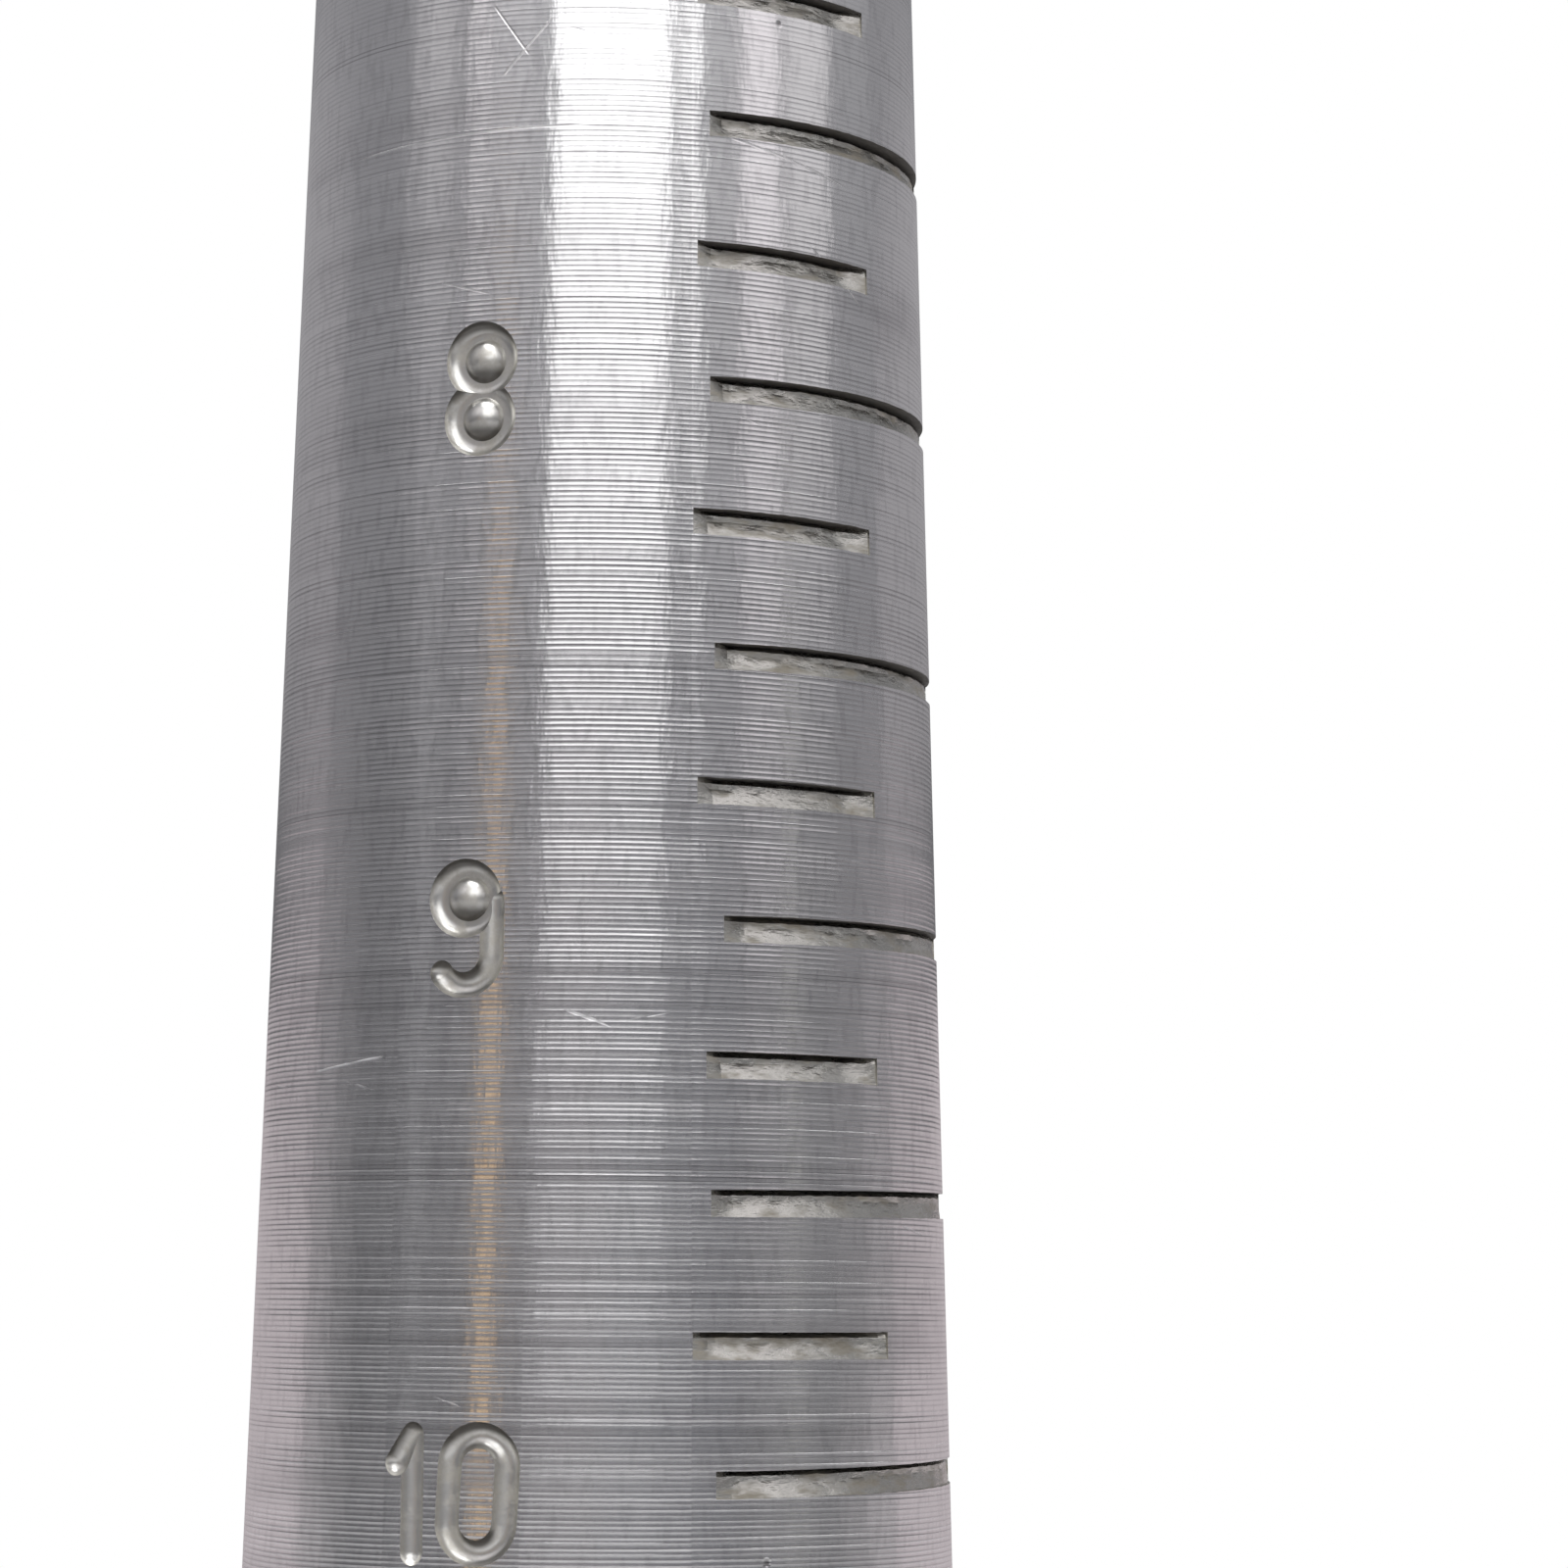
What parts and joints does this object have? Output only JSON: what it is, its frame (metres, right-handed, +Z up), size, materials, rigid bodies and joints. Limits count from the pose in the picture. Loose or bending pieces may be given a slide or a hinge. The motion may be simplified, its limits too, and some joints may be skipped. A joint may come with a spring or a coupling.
{
  "type": "ring mandrel",
  "caption": "Tapered aluminium ring gauge with quarter-size slots and stamped US sizes, on a turned wooden handle with a brass ferrule.",
  "frame": {"origin": "middle of the flat butt face of the handle, which the tool stands on", "axes": "+Z up along the mandrel's axis towards the thin end; -Y is the side that the stamped sizes face"},
  "size_m": [0.0344, 0.0344, 0.3176],
  "materials": {
    "turned_aluminium": "fine turned, satin, dull with use",
    "collar_aluminium": "turned, satin",
    "ferrule_brass": "turned, lightly tarnished",
    "pin_brass": "plain, lightly tarnished",
    "varnished_beech": "turned and varnished, worn satin",
    "plug_beech": "end grain, oiled",
    "zinc_steel": "zinc plated"
  },
  "bodies": {
    "root": {"gauge_cone": "turned_aluminium", "stop_collar": "collar_aluminium", "ferrule": "ferrule_brass", "ferrule_pin_1": "pin_brass", "ferrule_pin_2": "pin_brass", "handle": "varnished_beech", "handle_stud": "zinc_steel", "end_washer": "zinc_steel", "lock_washer": "zinc_steel", "end_nut": "zinc_steel", "end_plug": "plug_beech"}
  },
  "joints": []
}
